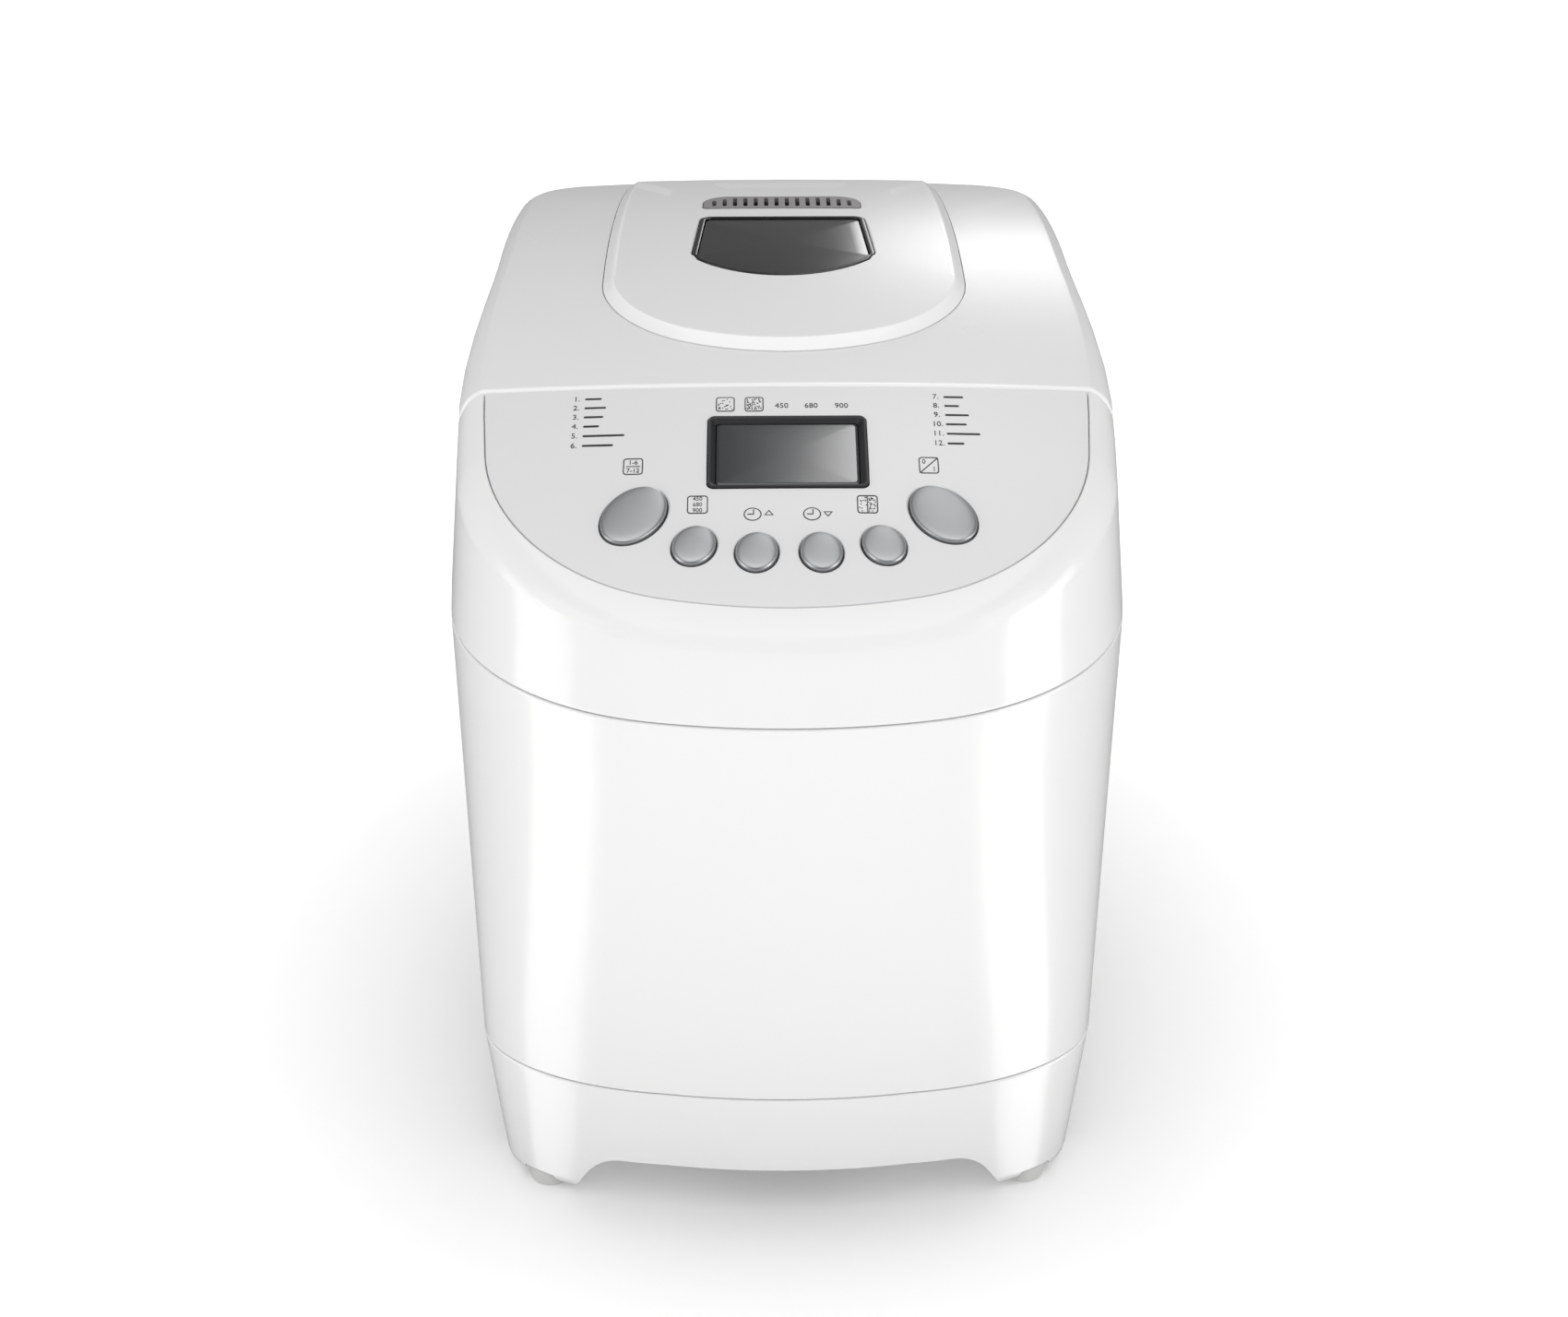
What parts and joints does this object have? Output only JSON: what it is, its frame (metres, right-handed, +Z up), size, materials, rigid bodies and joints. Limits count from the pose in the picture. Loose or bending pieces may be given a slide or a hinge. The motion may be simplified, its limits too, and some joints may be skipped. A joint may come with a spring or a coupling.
{
  "type": "bread machine",
  "caption": "Tall rounded household bread machine: sloping control panel, hinged lid with window and vent, lift-out pan with bail handle, belt-driven kneading paddle.",
  "frame": {"origin": "on the table under the middle of the machine's outer box, at the bottom of the feet", "axes": "+X to the right of a person at the front, +Y to the back (the hinge side), +Z up"},
  "size_m": [0.228, 0.35, 0.2999],
  "materials": {
    "white_plastic": "glossy white, very slightly warm",
    "panel_plastic": "satin light grey-white",
    "vent_plastic": "satin mid grey",
    "button_silver": "silver paint, satin",
    "window_trim": "dark polished trim",
    "smoked_glass": "smoked, glossy",
    "display_glass": "dark display window, glossy",
    "black_plastic": "fine matt",
    "foot_rubber": "matt",
    "steel": "plain zinc-plated",
    "aluminium": "satin pressed sheet",
    "pan_coating": "dark grey non-stick coating, satin",
    "element_sheath": "heat-darkened",
    "winding": "laminations and lacquered copper",
    "board": "green solder mask",
    "belt_rubber": "matt",
    "bush_plastic": "natural white"
  },
  "bodies": {
    "housing": {"base_shell": "white_plastic", "foot_pad_1": "foot_rubber", "foot_pad_2": "foot_rubber", "foot_pad_3": "foot_rubber", "foot_pad_4": "foot_rubber", "base_screw_1": "steel", "base_screw_2": "steel", "base_screw_3": "steel", "base_screw_4": "steel", "body_shell": "white_plastic", "cord_gland": "black_plastic", "upper_housing": "white_plastic", "control_panel": "panel_plastic", "display_frame": "black_plastic", "display_lens": "display_glass", "display_module": "black_plastic", "control_board": "board", "oven_chamber": "steel", "heating_element": "element_sheath", "element_clip_left": "steel", "element_clip_right": "steel", "temperature_sensor": "steel", "thermal_fuse": "bush_plastic", "pan_clip_left": "steel", "pan_clip_right": "steel", "bearing_housing": "aluminium", "chassis_plate": "steel", "drive_belt": "belt_rubber", "motor_lower_cap": "aluminium", "motor_stator": "winding", "motor_upper_cap": "aluminium", "power_board": "board", "run_capacitor": "aluminium", "hinge_pin_left": "steel", "hinge_pin_right": "steel"},
    "lid": {"lid_cover": "panel_plastic", "lid_centre_panel": "panel_plastic", "window_trim": "window_trim", "window_glass": "smoked_glass", "vent_grille": "vent_plastic", "lid_liner": "aluminium", "inner_window": "smoked_glass"},
    "pan": {"bread_pan": "pan_coating", "pan_base": "aluminium", "spindle_bush": "bush_plastic"},
    "handle": {"pan_handle": "steel"},
    "paddle": {"kneading_paddle": "pan_coating", "pan_spindle": "steel", "pan_coupling": "aluminium"},
    "drive": {"drive_pulley": "black_plastic", "drive_shaft": "steel", "drive_coupling": "bush_plastic"},
    "motor": {"motor_rotor": "steel", "motor_pulley": "steel"},
    "menu_button": {"menu_button": "button_silver"},
    "loaf_size_button": {"loaf_size_button": "button_silver"},
    "timer_up_button": {"timer_up_button": "button_silver"},
    "timer_down_button": {"timer_down_button": "button_silver"},
    "crust_button": {"crust_button": "button_silver"},
    "start_stop_button": {"start_stop_button": "button_silver"}
  },
  "joints": [
    {"name": "lid_hinge", "type": "hinge", "parent": "housing", "child": "lid", "pos_m": [0, 0.1712, 0.2708], "axis": [-1, 0, 0], "range_deg": [0, 88]},
    {"name": "pan_lift", "type": "slide", "parent": "housing", "child": "pan", "axis": [0, 0, 1], "range_m": [0, 0.04]},
    {"name": "handle_swing", "type": "hinge", "parent": "pan", "child": "handle", "pos_m": [0, 0.047, 0.212], "axis": [1, 0, 0], "range_deg": [0, 156.6]},
    {"name": "motor_spin", "type": "hinge", "parent": "housing", "child": "motor", "pos_m": [0, -0.092, 0.06], "axis": [0, 0, 1], "continuous": true},
    {"name": "drive_spin", "type": "hinge", "parent": "housing", "child": "drive", "pos_m": [0, 0.047, 0.04], "axis": [0, 0, 1], "continuous": true},
    {"name": "paddle_spin", "type": "hinge", "parent": "pan", "child": "paddle", "pos_m": [0, 0.047, 0.08], "axis": [0, 0, 1], "continuous": true},
    {"name": "menu_press", "type": "slide", "parent": "housing", "child": "menu_button", "axis": [0, 0.304, -0.9527], "range_m": [0, 0.001], "stiffness_N_per_m": 400},
    {"name": "loaf_size_press", "type": "slide", "parent": "housing", "child": "loaf_size_button", "axis": [0, 0.3263, -0.9453], "range_m": [0, 0.001], "stiffness_N_per_m": 400},
    {"name": "timer_up_press", "type": "slide", "parent": "housing", "child": "timer_up_button", "axis": [0, 0.331, -0.9436], "range_m": [0, 0.001], "stiffness_N_per_m": 400},
    {"name": "timer_down_press", "type": "slide", "parent": "housing", "child": "timer_down_button", "axis": [0, 0.331, -0.9436], "range_m": [0, 0.001], "stiffness_N_per_m": 400},
    {"name": "crust_press", "type": "slide", "parent": "housing", "child": "crust_button", "axis": [0, 0.3263, -0.9453], "range_m": [0, 0.001], "stiffness_N_per_m": 400},
    {"name": "start_stop_press", "type": "slide", "parent": "housing", "child": "start_stop_button", "axis": [0, 0.304, -0.9527], "range_m": [0, 0.001], "stiffness_N_per_m": 400}
  ],
  "couplings": [
    {"joint": "drive_spin", "follows": "motor_spin", "ratio": 0.18868},
    {"joint": "paddle_spin", "follows": "motor_spin", "ratio": 0.18868}
  ]
}
